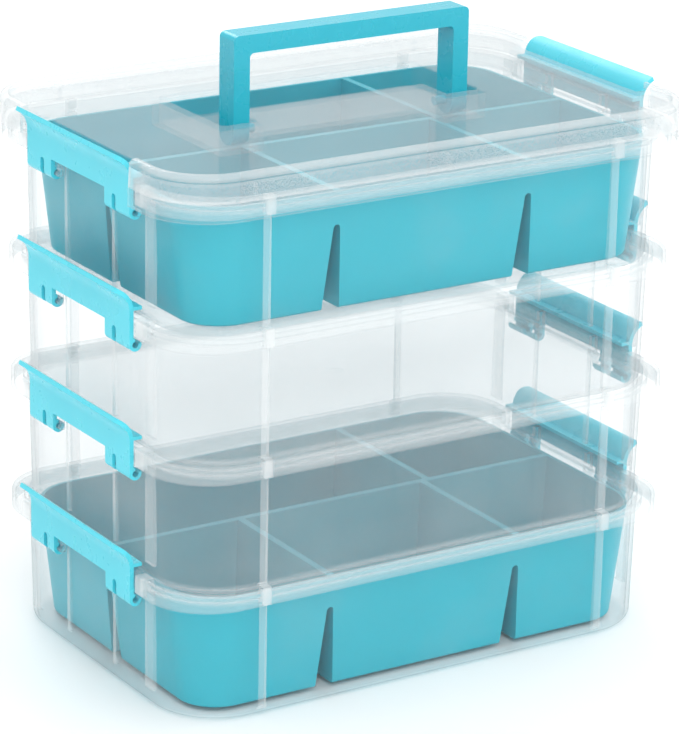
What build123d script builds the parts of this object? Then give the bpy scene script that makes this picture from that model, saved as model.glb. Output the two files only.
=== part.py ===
from build123d import *
import os

os.makedirs("parts", exist_ok=True)

# ---------------------------------------------------------------------------
# Stacking organiser: four clear tiers, a clear lid with a folding handle, two
# lift-out sorting trays and eight hinged side latches.
# Origin: centre of the bottom tier's underside. +X runs along the long side,
# +Y towards the back, +Z up. The latches are on the two short sides.
# ---------------------------------------------------------------------------

# ---- Driving dimensions (mm) ----
tier_names = ["bottom", "lower_middle", "upper_middle", "top"]
pitch = 56.0                    # height that one tier adds to the stack
wall = 1.6                      # general wall of the clear mouldings
play = 0.3                      # gap between pieces that rest on each other

foot_x, foot_y, foot_r = 119.9, 79.9, 30.0      # tier wall at its underside (half sizes)
mouth_x, mouth_y, mouth_r = 121.3, 81.3, 32.0   # tier wall at the rim (half sizes)
rim_x, rim_y, rim_r = 126.5, 85.7, 28.6         # rim flange (half sizes)
rim_low = 51.8                  # rim flange's lower edge, above the tier's underside
rim_top = 59.8                  # rim flange's top
seat = 55.7                     # seat inside the rim that carries the tier above
collar = 0.4                    # clearance step of the collar outside the wall
floor_t = 1.8
foot_edge = 4.0                 # rounding under the tier
rib_out_x, rib_out_y = 121.9, 82.2              # faces of the ribs on the tier's sides
side_rib_start = 9.0                            # foot of the short sides' ribs, above the catch

# side latch, measured from the rim flange's lower edge of the tier it is hinged to
latch_half = 44.0               # half width of a latch
notch_half = 46.6               # half width of the notch in the rim and in the lid
plate_out = 127.5               # latch plate's outer face
plate_t = 1.9
pin_x, pin_up = 124.7, -4.6     # hinge bar
pin_r, clip_r = 1.3, 2.8        # hinge bar and clip radii
clip_play = 0.1
arch_half, arch_up = 23.0, 1.5  # arch between the latch's two feet
slot_y, slot_w = 30.8, 3.2      # slot in each foot, for the bar's middle web
lip_start, lip_reach, lip_rise = 10.0, 6.0, 9.2
catch_low, catch_t, catch_tip = 10.2, 1.5, 121.7
rail_out = 125.0                # face of the rim behind the latch
lug_low, lug_t, lug_tip = 8.4, 1.4, 124.6
lug_y, lug_w = 41.0, 9.0        # catch lugs on the tier above, and on the lid

# lid
lid_x, lid_y, lid_r = 130.0, 88.2, 28.8         # skirt's lower edge (half sizes)
lid_lean = 1.0                                  # how far the skirt leans in at the top
skirt_t = 1.8
skirt_low, panel_top, lid_top = 219.5, 235.3, 239.0
panel_t = 1.6
bead_w = 3.6                                    # raised bead round the lid
skirt_bead = 225.0                              # raised line round the skirt
notch_x = 121.4                                 # back of the lid's notch
well_x, well_front, well_back = 64.7, -10.5, 45.0
well_depth = 11.0
island_x, island_back = 47.0, 8.5

# handle
handle_x, leg_w, handle_d = 58.5, 7.7, 12.0
handle_top, bar_t = 272.4, 8.0
pivot_y, pivot_z = -3.0, 230.6
stub_r = 2.0

# sorting tray
tray_x, tray_y, tray_r = 115.5, 77.0, 24.0      # at its top edge (half sizes)
tray_lean = 6.0                                 # how far each side leans in at the bottom
tray_top = 54.2                                 # above the tier's underside
tray_t = 1.6
rib_top, rib_low = 1.6, 6.0                     # divider's half width, top and bottom
gap_top, gap_low, gap_up = 1.6, 4.4, 38.0       # gap under a divider: half widths, height
front_dividers = [-48.5, 46.0]
back_dividers = [49.5]

tier_count = len(tier_names)
clip_inner = pin_r + clip_play
tray_low = floor_t + play
rib_start = rim_top - pitch + play


def rounded(half_x, half_y, radius, mode=Mode.ADD):
    """A rectangle with rounded corners, given by its half sizes."""
    return RectangleRounded(2 * half_x, 2 * half_y, radius, mode=mode)


def latch_level(level):
    """Height of the rim flange's lower edge on the given tier."""
    return level * pitch + rim_low


def build_tier(level):
    """One clear tier, with hinge bars on its rim and, above another tier, catch lugs."""
    base = level * pitch
    low = base + rim_low
    with BuildPart() as tier:
        # tapered wall
        with BuildSketch(Plane.XY.offset(base)):
            rounded(foot_x, foot_y, foot_r)
        with BuildSketch(Plane.XY.offset(base + seat)):
            rounded(mouth_x, mouth_y, mouth_r)
        loft()
        fillet(tier.faces().sort_by(Axis.Z)[0].edges(), foot_edge)

        # vertical ribs on the long and the short sides
        for x in (-85.7, 85.7):
            with BuildSketch(Plane.XY.offset(base + rib_start)):
                with Locations((x, 0)):
                    Rectangle(3.8, 2 * rib_out_y)
            extrude(amount=rim_low - rib_start + 1)
        for y, width in ((-50.5, 7.0), (-20.5, 2.4), (20.5, 2.4), (50.5, 7.0)):
            with BuildSketch(Plane.XY.offset(base + side_rib_start)):
                with Locations((0, y)):
                    Rectangle(2 * rib_out_x, width)
            extrude(amount=rim_low - side_rib_start + 1)

        # rim flange
        with BuildSketch(Plane.XY.offset(low)):
            rounded(rim_x, rim_y, rim_r)
        extrude(amount=rim_top - rim_low)
        fillet(tier.faces().sort_by(Axis.Z)[-1].edges(), 1.1)

        # channel under the rim, between the collar and the skirt
        with BuildSketch(Plane.XY.offset(low)):
            rounded(rim_x - 1.5, rim_y - 1.5, rim_r - 1.5)
            rounded(mouth_x + collar + 1.4, mouth_y + collar + 1.4, mouth_r, mode=Mode.SUBTRACT)
        extrude(amount=rim_top - rim_low - 1.5, mode=Mode.SUBTRACT)
        with BuildSketch(Plane.XY.offset(low)):
            rounded(rim_x - 1.5, rim_y - 1.5, rim_r - 1.5)
            rounded(mouth_x, mouth_y, mouth_r, mode=Mode.SUBTRACT)
        extrude(amount=seat - wall - rim_low, mode=Mode.SUBTRACT)

        # hollow: tapered inside, and the wider mouth above the seat
        with BuildSketch(Plane.XY.offset(base + floor_t)):
            rounded(foot_x - wall, foot_y - wall, foot_r - wall)
        with BuildSketch(Plane.XY.offset(base + seat)):
            rounded(mouth_x - wall, mouth_y - wall, mouth_r - wall)
        loft(mode=Mode.SUBTRACT)
        with BuildSketch(Plane.XY.offset(base + seat)):
            rounded(mouth_x + collar, mouth_y + collar, mouth_r)
        extrude(amount=rim_top - seat, mode=Mode.SUBTRACT)

        for side in (-1, 1):
            # notch in the rim for the latch, closed by a rail and two cheeks
            with Locations((side * (rail_out + 5), 0, low - 1)):
                Box(10, 2 * notch_half, 12, align=(Align.CENTER, Align.CENTER, Align.MIN),
                    mode=Mode.SUBTRACT)
            with Locations((side * (mouth_x + collar + rail_out) / 2, 0, low + 0.8)):
                Box(rail_out - mouth_x - collar, 2 * notch_half + 3, rim_top - rim_low - 0.8,
                    align=(Align.CENTER, Align.CENTER, Align.MIN))
            for end in (-1, 1):
                with Locations((side * (rail_out + 0.2), end * (notch_half + 0.75), low)):
                    Box(2.0, 1.5, rim_top - rim_low - 1, align=(Align.CENTER, Align.CENTER, Align.MIN))
                # hinge bar and the three webs that carry it
                with Locations(Location((side * pin_x, end * 32.9, low + pin_up), (90, 0, 0))):
                    Cylinder(pin_r, 24.4)
                for y, width in ((21.7, 1.6), (slot_y, 1.8), (45.2, 1.6)):
                    with Locations((side * (rail_out - 1.1), end * y, low + pin_up - pin_r)):
                        Box(2.2, width, 1.2 - pin_up + pin_r,
                            align=(Align.CENTER, Align.CENTER, Align.MIN))
                # catch lug for the latch of the tier below
                if level > 0:
                    with Locations((side * (foot_x - 1 + lug_tip) / 2, end * lug_y,
                                    low - pitch + lug_low)):
                        Box(lug_tip - foot_x + 1, lug_w, lug_t,
                            align=(Align.CENTER, Align.CENTER, Align.MIN))

        # gate mark in the middle of the floor
        with BuildSketch(Plane.XY.offset(base + floor_t)):
            Circle(3.0)
            Circle(2.2, mode=Mode.SUBTRACT)
        extrude(amount=0.25)
    return tier.part


def build_latch(level, side):
    """A latch: clips round the hinge bar, a plate, an inner catch and an outward finger lip."""
    low = latch_level(level)
    centre_x = plate_out - plate_t / 2
    outline = Plane(origin=(0, latch_half, low), x_dir=(side, 0, 0), z_dir=(0, -side, 0))
    if side < 0:
        outline = Plane(origin=(0, -latch_half, low), x_dir=(-1, 0, 0), z_dir=(0, 1, 0))
    with BuildPart() as latch:
        with BuildSketch(outline):
            with BuildLine():
                Line((centre_x, pin_up), (centre_x, lip_start))
                TangentArc((centre_x, lip_start), (centre_x + lip_reach, lip_start + lip_rise),
                           tangent=(0, 1))
            trace(line_width=plate_t)
            with Locations((pin_x, pin_up)):
                Circle(clip_r)
            with Locations(((catch_tip + centre_x) / 2, catch_low + catch_t / 2)):
                Rectangle(centre_x - catch_tip, catch_t)
            with Locations((pin_x, pin_up)):
                Circle(clip_inner, mode=Mode.SUBTRACT)
            # the clip's mouth opens inwards and up
            with BuildLine():
                Polyline((pin_x, pin_up), (pin_x - 4, pin_up + 1.2), (pin_x - 4, pin_up + 4),
                         (pin_x + 0.4, pin_up + 4), (pin_x, pin_up))
            make_face(mode=Mode.SUBTRACT)
        extrude(amount=2 * latch_half)

        # arch between the feet
        with BuildSketch(Plane.YZ.offset(side * (pin_x - clip_r - 1))):
            with Locations((0, low + arch_up - 12)):
                Rectangle(2 * arch_half, 24)
        extrude(amount=side * 9, mode=Mode.SUBTRACT)

        # slots in the feet, so that the clips pass the middle webs
        with BuildSketch(Plane.YZ.offset(side * (pin_x - clip_r - 1))):
            with Locations((-slot_y, low + pin_up - clip_r + 3.0), (slot_y, low + pin_up - clip_r + 3.0)):
                SlotOverall(10, slot_w, rotation=90)
        extrude(amount=side * 9, mode=Mode.SUBTRACT)

        # one corner of the finger lip is well rounded
        thumb_corner = latch.edges().filter_by(
            lambda e: e.length < 2.2 and e.center().Z > low + lip_start + lip_rise - 2
            and e.center().Y * side > 0)
        if thumb_corner:
            fillet(thumb_corner, 5.0)
    return latch.part


def build_lid():
    """The lid: flat panel, skirt, raised bead, side notches and a U-shaped handle well."""
    low = latch_level(tier_count - 1)
    rest = low - rim_low + rim_top + play
    ceiling = panel_top - panel_t
    with BuildPart() as lid:
        with BuildSketch(Plane.XY.offset(skirt_low)):
            rounded(lid_x, lid_y, lid_r)
        with BuildSketch(Plane.XY.offset(lid_top)):
            rounded(lid_x - lid_lean, lid_y - lid_lean, lid_r - lid_lean)
        loft()
        fillet(lid.faces().sort_by(Axis.Z)[-1].edges(), 2.6)

        # line of moulding round the skirt
        with BuildSketch(Plane.XY.offset(skirt_bead)):
            rounded(lid_x, lid_y, lid_r)
        extrude(amount=2.0)

        # flat top inside the bead
        with BuildSketch(Plane.XY.offset(panel_top)):
            rounded(lid_x - lid_lean - bead_w, lid_y - lid_lean - bead_w, lid_r - lid_lean - bead_w)
        extrude(amount=lid_top - panel_top, mode=Mode.SUBTRACT)

        # hollow underside: full width beside the tier's rim, notched above it
        with BuildSketch(Plane.XY.offset(skirt_low)):
            rounded(lid_x - skirt_t, lid_y - skirt_t, lid_r - skirt_t)
        extrude(amount=rest - skirt_low, mode=Mode.SUBTRACT)
        with BuildSketch(Plane.XY.offset(rest)):
            rounded(lid_x - lid_lean - skirt_t, lid_y - lid_lean - skirt_t, lid_r - lid_lean - skirt_t)
            with Locations((-notch_x - 4, 0), (notch_x + 4, 0)):
                Rectangle(2 * 5.5, 2 * notch_half + 3, mode=Mode.SUBTRACT)
        extrude(amount=ceiling - rest, mode=Mode.SUBTRACT)

        for side in (-1, 1):
            with Locations((side * (notch_x + 6), 0, skirt_low - 1)):
                Box(12, 2 * notch_half, lid_top - skirt_low + 2,
                    align=(Align.CENTER, Align.CENTER, Align.MIN), mode=Mode.SUBTRACT)
            for end in (-1, 1):
                with Locations((side * (notch_x - 1 + lug_tip) / 2, end * lug_y, low + lug_low)):
                    Box(lug_tip - notch_x + 1, lug_w, lug_t,
                        align=(Align.CENTER, Align.CENTER, Align.MIN))
            # ribs that stand on the tier's rim
            for x in (-91.5, 0, 91.5):
                with Locations((x, side * (lid_y - 3.6), rest)):
                    Box(1.6, 5.2, ceiling - rest + 0.5, align=(Align.CENTER, Align.CENTER, Align.MIN))

        # handle well: a block under the panel, hollowed from both sides
        well_mid = (well_front + well_back) / 2
        well_w = well_back - well_front
        with Locations((0, well_mid, panel_top - well_depth - panel_t)):
            Box(2 * (well_x + panel_t), well_w + 2 * panel_t, well_depth,
                align=(Align.CENTER, Align.CENTER, Align.MIN))
        with BuildSketch(Plane.XY.offset(panel_top - well_depth)):
            with Locations((0, well_mid)):
                RectangleRounded(2 * well_x, well_w, 3)
            with Locations((0, (well_front - 5 + island_back) / 2)):
                Rectangle(2 * island_x, island_back - well_front + 5, mode=Mode.SUBTRACT)
        extrude(amount=well_depth, mode=Mode.SUBTRACT)
        with Locations((0, (well_front - panel_t + island_back - panel_t) / 2,
                        panel_top - well_depth - panel_t)):
            Box(2 * (island_x - panel_t), island_back - well_front, well_depth,
                align=(Align.CENTER, Align.CENTER, Align.MIN), mode=Mode.SUBTRACT)
        with Locations(Location((0, pivot_y, pivot_z), (0, 90, 0))):
            Cylinder(stub_r + clip_play, 2 * island_x + 2, mode=Mode.SUBTRACT)

        # gate mark in the middle of the panel
        with BuildSketch(Plane.XY.offset(panel_top)):
            Circle(2.4)
            Circle(1.7, mode=Mode.SUBTRACT)
        extrude(amount=0.25)
    return lid.part


def build_handle():
    """The carrying handle, upright, with a stub pin inside each leg."""
    with BuildPart() as handle:
        with BuildSketch(Plane.XZ.offset(-pivot_y - handle_d / 2)) as outline:
            with Locations((0, (handle_top + pivot_z - handle_d / 2) / 2)):
                Rectangle(2 * handle_x, handle_top - pivot_z + handle_d / 2)
            with Locations((0, (handle_top - bar_t + pivot_z - handle_d) / 2)):
                Rectangle(2 * (handle_x - leg_w), handle_top - bar_t - pivot_z + handle_d,
                          mode=Mode.SUBTRACT)
            fillet(outline.vertices().group_by(Axis.Y)[-2], 2.0)
            fillet(outline.vertices().group_by(Axis.Y)[-1], 2.5)
        extrude(amount=handle_d)
        fillet(handle.edges().filter_by(Axis.X).group_by(Axis.Z)[0], handle_d / 2 - 0.1)
        for side in (-1, 1):
            with Locations(Location((side * (handle_x - leg_w / 2 + island_x - 1.4) / 2,
                                     pivot_y, pivot_z), (0, 90, 0))):
                Cylinder(stub_r, handle_x - leg_w / 2 - island_x + 1.4)
    return handle.part


def tray_hollow(base):
    """The space inside the tray's five cups."""
    low = base + tray_low + tray_t
    top = base + tray_top
    lean = tray_lean * (tray_top - tray_low - tray_t) / (tray_top - tray_low)
    with BuildPart() as hollow:
        with BuildSketch(Plane.XY.offset(low)):
            rounded(tray_x - tray_t - lean, tray_y - tray_t - lean, tray_r - tray_t - lean)
        with BuildSketch(Plane.XY.offset(top)):
            rounded(tray_x - tray_t, tray_y - tray_t, tray_r - tray_t)
        loft()
        with BuildSketch(Plane.YZ.offset(-tray_x)):
            with BuildLine():
                Polyline((-rib_low, low), (rib_low, low), (rib_top, top), (-rib_top, top),
                         (-rib_low, low))
            make_face()
        extrude(amount=2 * tray_x, mode=Mode.SUBTRACT)
        for row, dividers in ((-1, front_dividers), (1, back_dividers)):
            for x in dividers:
                with BuildSketch(Plane.XZ):
                    with BuildLine():
                        Polyline((x - rib_low, low), (x + rib_low, low), (x + rib_top, top),
                                 (x - rib_top, top), (x - rib_low, low))
                    make_face()
                extrude(amount=-row * tray_y, mode=Mode.SUBTRACT)
    return hollow.part


def build_tray(level):
    """A sorting tray: two rows of tapered cups joined along their rims."""
    base = level * pitch
    low = base + tray_low
    with BuildPart() as tray:
        with BuildSketch(Plane.XY.offset(low)):
            rounded(tray_x - tray_lean, tray_y - tray_lean, tray_r - tray_lean)
        with BuildSketch(Plane.XY.offset(base + tray_top)):
            rounded(tray_x, tray_y, tray_r)
        loft()
        fillet(tray.faces().sort_by(Axis.Z)[0].edges(), 1.4)
        add(tray_hollow(base), mode=Mode.SUBTRACT)

        # tapered gaps between neighbouring cups
        with BuildSketch(Plane.YZ.offset(-tray_x - 1)):
            with BuildLine():
                Polyline((-gap_top, base + gap_up), (-gap_low, low - 1), (gap_low, low - 1),
                         (gap_top, base + gap_up))
                TangentArc((gap_top, base + gap_up), (-gap_top, base + gap_up), tangent=(0, 1))
            make_face()
        extrude(amount=2 * tray_x + 2, mode=Mode.SUBTRACT)
        for row, dividers in ((-1, front_dividers), (1, back_dividers)):
            for x in dividers:
                with BuildSketch(Plane.XZ):
                    with BuildLine():
                        Polyline((x - gap_top, base + gap_up), (x - gap_low, low - 1),
                                 (x + gap_low, low - 1), (x + gap_top, base + gap_up))
                        TangentArc((x + gap_top, base + gap_up), (x - gap_top, base + gap_up),
                                   tangent=(0, 1))
                    make_face()
                extrude(amount=-row * (tray_y + 1), mode=Mode.SUBTRACT)
    return tray.part


def save(part, name):
    part.label = name
    export_step(part, f"parts/{name}.step")


for level, tier_name in enumerate(tier_names):
    save(build_tier(level), f"tier_{tier_name}")
    for side, side_name in ((-1, "left"), (1, "right")):
        save(build_latch(level, side), f"latch_{tier_name}_{side_name}")

save(build_lid(), "lid")
save(build_handle(), "handle")
save(build_tray(0), "sorting_tray_bottom")
save(build_tray(tier_count - 1), "sorting_tray_top")
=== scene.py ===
import bpy
import math
from mathutils import Matrix, Vector


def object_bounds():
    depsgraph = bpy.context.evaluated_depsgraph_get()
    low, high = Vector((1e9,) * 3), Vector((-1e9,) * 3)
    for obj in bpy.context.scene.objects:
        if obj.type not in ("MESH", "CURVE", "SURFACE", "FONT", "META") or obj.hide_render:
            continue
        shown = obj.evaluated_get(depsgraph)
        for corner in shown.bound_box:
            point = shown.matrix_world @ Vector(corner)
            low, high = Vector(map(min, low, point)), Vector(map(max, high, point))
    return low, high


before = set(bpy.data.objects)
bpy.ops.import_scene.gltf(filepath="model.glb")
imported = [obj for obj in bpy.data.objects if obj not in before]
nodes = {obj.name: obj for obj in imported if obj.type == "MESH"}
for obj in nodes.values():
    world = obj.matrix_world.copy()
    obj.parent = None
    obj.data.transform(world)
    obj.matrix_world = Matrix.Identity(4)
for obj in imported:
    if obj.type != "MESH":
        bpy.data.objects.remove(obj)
cad_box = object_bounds()
scene = bpy.context.scene

TIERS = ["bottom", "lower_middle", "upper_middle", "top"]
SIDES = ["left", "right"]
PITCH = 0.056           # height that one tier adds
RIM_LOW = 0.0518        # rim flange's lower edge, above its tier's underside
RIM_TOP = 0.0598        # rim flange's top
SKIRT_BEAD = 0.2270     # top of the moulded line round the lid's skirt
LID_BEAD = 0.2362       # foot of the raised bead on the lid
CORNER_X, CORNER_Y, CORNER_R = 0.1010, 0.0592, 0.0272   # line that the lid's corners turn about, and
                                                        # how far from it the skirt's outside begins


# ---------------------------------------------------------------- node helpers
def material(name):
    """A new node material, with its tree and its principled shader."""
    mat = bpy.data.materials.new(name)
    mat.use_nodes = True
    tree = mat.node_tree
    return mat, tree, tree.nodes["Principled BSDF"]


def link(tree, a, b):
    tree.links.new(a, b)


def maths(tree, operation, a, b=None, clamp=False):
    """One maths node on sockets or numbers; returns its output."""
    node = tree.nodes.new("ShaderNodeMath")
    node.operation = operation
    node.use_clamp = clamp
    for i, value in enumerate((a, b)):
        if value is None:
            continue
        if isinstance(value, (int, float)):
            node.inputs[i].default_value = value
        else:
            link(tree, value, node.inputs[i])
    return node.outputs[0]


def ramp(tree, value, low, high, start=0.0, end=1.0):
    """value moves smoothly from start to end as it passes from low to high."""
    node = tree.nodes.new("ShaderNodeMapRange")
    node.interpolation_type = "SMOOTHSTEP"
    for socket, number in zip(("From Min", "From Max", "To Min", "To Max"), (low, high, start, end)):
        node.inputs[socket].default_value = number
    link(tree, value, node.inputs["Value"])
    return node.outputs["Result"]


def noise(tree, scale, detail=3.0, roughness=0.55):
    """Noise fixed to the piece."""
    coord = tree.nodes.new("ShaderNodeTexCoord")
    node = tree.nodes.new("ShaderNodeTexNoise")
    node.inputs["Scale"].default_value = scale
    node.inputs["Detail"].default_value = detail
    node.inputs["Roughness"].default_value = roughness
    link(tree, coord.outputs["Object"], node.inputs["Vector"])
    return node.outputs["Fac"]


def bump(tree, height, strength, distance, shader):
    node = tree.nodes.new("ShaderNodeBump")
    node.inputs["Strength"].default_value = strength
    node.inputs["Distance"].default_value = distance
    link(tree, height, node.inputs["Height"])
    link(tree, node.outputs["Normal"], shader.inputs["Normal"])


def position(tree):
    """x, y and z of the point on the piece."""
    coord = tree.nodes.new("ShaderNodeTexCoord")
    split = tree.nodes.new("ShaderNodeSeparateXYZ")
    link(tree, coord.outputs["Object"], split.inputs[0])
    return split.outputs


# ------------------------------------------------------------------- materials
def teal(name, colour, roughness, grain, mottling):
    """Opaque moulded polypropylene: faint mottling, fine grain, uneven gloss."""
    mat, tree, shader = material(name)
    mix = tree.nodes.new("ShaderNodeMix")
    mix.data_type = "RGBA"
    mix.inputs["A"].default_value = (*[c * (1 - mottling) for c in colour], 1)
    mix.inputs["B"].default_value = (*[min(1, c * (1 + mottling)) for c in colour], 1)
    link(tree, noise(tree, 35), mix.inputs["Factor"])
    link(tree, mix.outputs["Result"], shader.inputs["Base Color"])
    link(tree, ramp(tree, noise(tree, 90), 0.3, 0.7, roughness - 0.05, roughness + 0.07),
         shader.inputs["Roughness"])
    shader.inputs["Specular IOR Level"].default_value = 0.5
    shader.inputs["Subsurface Weight"].default_value = 0.06
    shader.inputs["Subsurface Scale"].default_value = 0.002
    bump(tree, noise(tree, 2600, 2), grain, 0.00002, shader)
    return mat


def clear(name, opacity, edge, rim_band=None, frost_band=None):
    """Clear polypropylene: mostly see-through, milkier edge-on, at rims and where it is frosted."""
    mat, tree, shader = material(name)
    shader.inputs["Base Color"].default_value = (0.84, 0.86, 0.86, 1)
    shader.inputs["Specular IOR Level"].default_value = 0.6
    weight = tree.nodes.new("ShaderNodeLayerWeight")
    weight.inputs["Blend"].default_value = 0.35
    facing = maths(tree, "POWER", weight.outputs["Facing"], 2.5)
    cover = maths(tree, "ADD", maths(tree, "MULTIPLY", facing, edge), opacity)
    cover = maths(tree, "ADD", cover, ramp(tree, noise(tree, 22), 0.45, 0.75, 0, 0.020))
    x, y, z = position(tree)
    grain_height = noise(tree, 420, 3)
    if rim_band:
        level = maths(tree, "MODULO", z, PITCH)
        # the rim's top stands above the next tier's underside, so it wraps round to the start
        low_part = maths(tree, "MULTIPLY", maths(tree, "LESS_THAN", level, RIM_TOP - PITCH),
                         maths(tree, "GREATER_THAN", z, PITCH))
        high_part = maths(tree, "GREATER_THAN", level, RIM_LOW)
        on_rim = maths(tree, "MAXIMUM", low_part, high_part)
        cover = maths(tree, "ADD", cover, maths(tree, "MULTIPLY", on_rim, rim_band))
        cover = maths(tree, "ADD", cover, maths(tree, "MULTIPLY", rib_mask(tree, x, y), 2 * rim_band))
    if frost_band:
        low, high, amount = frost_band
        # distance from the line that the corners turn about, along the sides as well
        across = maths(tree, "MAXIMUM", maths(tree, "SUBTRACT", maths(tree, "ABSOLUTE", x), CORNER_X), 0)
        along = maths(tree, "MAXIMUM", maths(tree, "SUBTRACT", maths(tree, "ABSOLUTE", y), CORNER_Y), 0)
        reach = maths(tree, "SQRT", maths(tree, "ADD", maths(tree, "MULTIPLY", across, across),
                                          maths(tree, "MULTIPLY", along, along)))
        outside = maths(tree, "GREATER_THAN", reach, CORNER_R)
        band = maths(tree, "MULTIPLY", ramp(tree, z, low, low + 0.0006),
                     ramp(tree, z, high - 0.0006, high, 1, 0))
        frosted = maths(tree, "MULTIPLY", outside, band)
        sparkle = ramp(tree, noise(tree, 2600, 2, 0.7), 0.42, 0.62, 0.6, 1.0)
        haze = maths(tree, "MULTIPLY", maths(tree, "MULTIPLY", frosted, sparkle), amount)
        # the raised bead at the top is thicker
        bead = maths(tree, "MULTIPLY", maths(tree, "GREATER_THAN", z, high), 0.16)
        cover = maths(tree, "ADD", cover, maths(tree, "ADD", haze, bead))
        link(tree, maths(tree, "ADD", maths(tree, "MULTIPLY", frosted, 0.35), 0.09), shader.inputs["Roughness"])
        grain_height = maths(tree, "ADD", maths(tree, "MULTIPLY", grain_height, 0.2),
                             maths(tree, "MULTIPLY", noise(tree, 2600, 2, 0.7), frosted))
    else:
        link(tree, ramp(tree, noise(tree, 60), 0.3, 0.7, 0.05, 0.13), shader.inputs["Roughness"])
    bump(tree, grain_height, 0.10, 0.00008, shader)
    see = tree.nodes.new("ShaderNodeBsdfTransparent")
    # painted shade: light let through edge-on is tinted grey, standing in for the dark lines that refraction
    # draws along the walls' edges
    refraction_shade_tint = tree.nodes.new("ShaderNodeMix")
    refraction_shade_tint.data_type = "RGBA"
    refraction_shade_tint.inputs["A"].default_value = (0.990, 0.995, 0.997, 1)
    refraction_shade_tint.inputs["B"].default_value = (0.42, 0.47, 0.49, 1)
    link(tree, maths(tree, "POWER", weight.outputs["Facing"], 4.0), refraction_shade_tint.inputs["Factor"])
    link(tree, refraction_shade_tint.outputs["Result"], see.inputs["Color"])
    mix = tree.nodes.new("ShaderNodeMixShader")
    link(tree, maths(tree, "MINIMUM", cover, 0.92), mix.inputs["Fac"])
    link(tree, see.outputs[0], mix.inputs[1])
    link(tree, shader.outputs[0], mix.inputs[2])
    link(tree, mix.outputs[0], tree.nodes["Material Output"].inputs["Surface"])
    return mat


def rib_mask(tree, x, y):
    """1 on the tiers' moulded ribs, which are thicker and so milkier than the wall."""
    across, along = maths(tree, "ABSOLUTE", x), maths(tree, "ABSOLUTE", y)
    mask = None
    for value, centre, half, other, outside in ((across, 0.0857, 0.0019, along, 0.0798),
                                                (along, 0.0205, 0.0012, across, 0.1203),
                                                (along, 0.0505, 0.0035, across, 0.1203)):
        offset = maths(tree, "ABSOLUTE", maths(tree, "SUBTRACT", value, centre))
        near = maths(tree, "LESS_THAN", offset, half)
        here = maths(tree, "MULTIPLY", near, maths(tree, "GREATER_THAN", other, outside))
        mask = here if mask is None else maths(tree, "MAXIMUM", mask, here)
    return mask


tier_clear = clear("clear_tier", 0.020, 0.38, rim_band=0.11)
lid_clear = clear("clear_lid", 0.050, 0.44, frost_band=(SKIRT_BEAD, LID_BEAD, 0.36))
latch_teal = teal("teal_latch", (0.085, 0.640, 0.760), 0.30, 0.10, 0.04)
handle_teal = teal("teal_handle", (0.020, 0.460, 0.580), 0.28, 0.08, 0.04)
tray_teal = teal("teal_tray", (0.010, 0.430, 0.530), 0.42, 0.22, 0.06)


def dress(name, mat):
    """Gives a CAD node its material."""
    mesh = nodes[name].data
    mesh.materials.clear()
    mesh.materials.append(mat)


for tier in TIERS:
    dress(f"tier_{tier}", tier_clear)
    for side in SIDES:
        dress(f"latch_{tier}_{side}", latch_teal)
dress("lid", lid_clear)
dress("handle", handle_teal)
for tray in ("bottom", "top"):
    dress(f"sorting_tray_{tray}", tray_teal)

# ------------------------------------------------------------ floor and lights
lo, hi = cad_box
bpy.ops.mesh.primitive_plane_add(size=12, location=(0, 0, lo.z - 0.0002))
floor = bpy.context.object
floor.name = "floor"
floor_mat, floor_tree, floor_shader = material("floor_white")
floor_shader.inputs["Base Color"].default_value = (0.93, 0.93, 0.93, 1)
floor_shader.inputs["Roughness"].default_value = 0.8
bump(floor_tree, noise(floor_tree, 150), 0.03, 0.0005, floor_shader)
floor.data.materials.append(floor_mat)

world = bpy.data.worlds.new("studio")
world.use_nodes = True
world.node_tree.nodes["Background"].inputs["Color"].default_value = (1.0, 1.0, 1.0, 1)
world.node_tree.nodes["Background"].inputs["Strength"].default_value = 1.0
scene.world = world


def softbox(name, place, size, power):
    """A square area light that faces the middle of the object."""
    light = bpy.data.lights.new(name, "AREA")
    light.energy = power
    light.size = size
    lamp = bpy.data.objects.new(name, light)
    lamp.location = place
    lamp.rotation_euler = (Vector((0, 0, hi.z / 2)) - Vector(place)).to_track_quat("-Z", "Y").to_euler()
    scene.collection.objects.link(lamp)


softbox("key", (-0.5, -1.2, 1.3), 0.7, 9)
softbox("side", (1.3, -0.4, 0.8), 0.6, 4)
softbox("rear", (0.2, 1.3, 1.1), 0.8, 6)

# ---------------------------------------------------------------------- camera
EYE = Vector((-0.8289, -1.3092, 0.6483))
YAW, PITCH_DOWN, ROLL = (math.radians(a) for a in (32.39, 18.97, 1.04))
forward = Vector((math.sin(YAW) * math.cos(PITCH_DOWN), math.cos(YAW) * math.cos(PITCH_DOWN),
                  -math.sin(PITCH_DOWN)))
level_right = forward.cross(Vector((0, 0, 1))).normalized()
level_up = level_right.cross(forward)
right = math.cos(ROLL) * level_right + math.sin(ROLL) * level_up
up = -math.sin(ROLL) * level_right + math.cos(ROLL) * level_up
camera_data = bpy.data.cameras.new("camera")
camera_data.lens = 184.07
camera = bpy.data.objects.new("camera", camera_data)
camera.matrix_world = Matrix.Translation(EYE) @ Matrix((right, up, -forward)).transposed().to_4x4()
scene.collection.objects.link(camera)
scene.camera = camera
scene.view_settings.view_transform = "Standard"
scene.cycles.transparent_max_bounces = 40
scene.cycles.max_bounces = 5
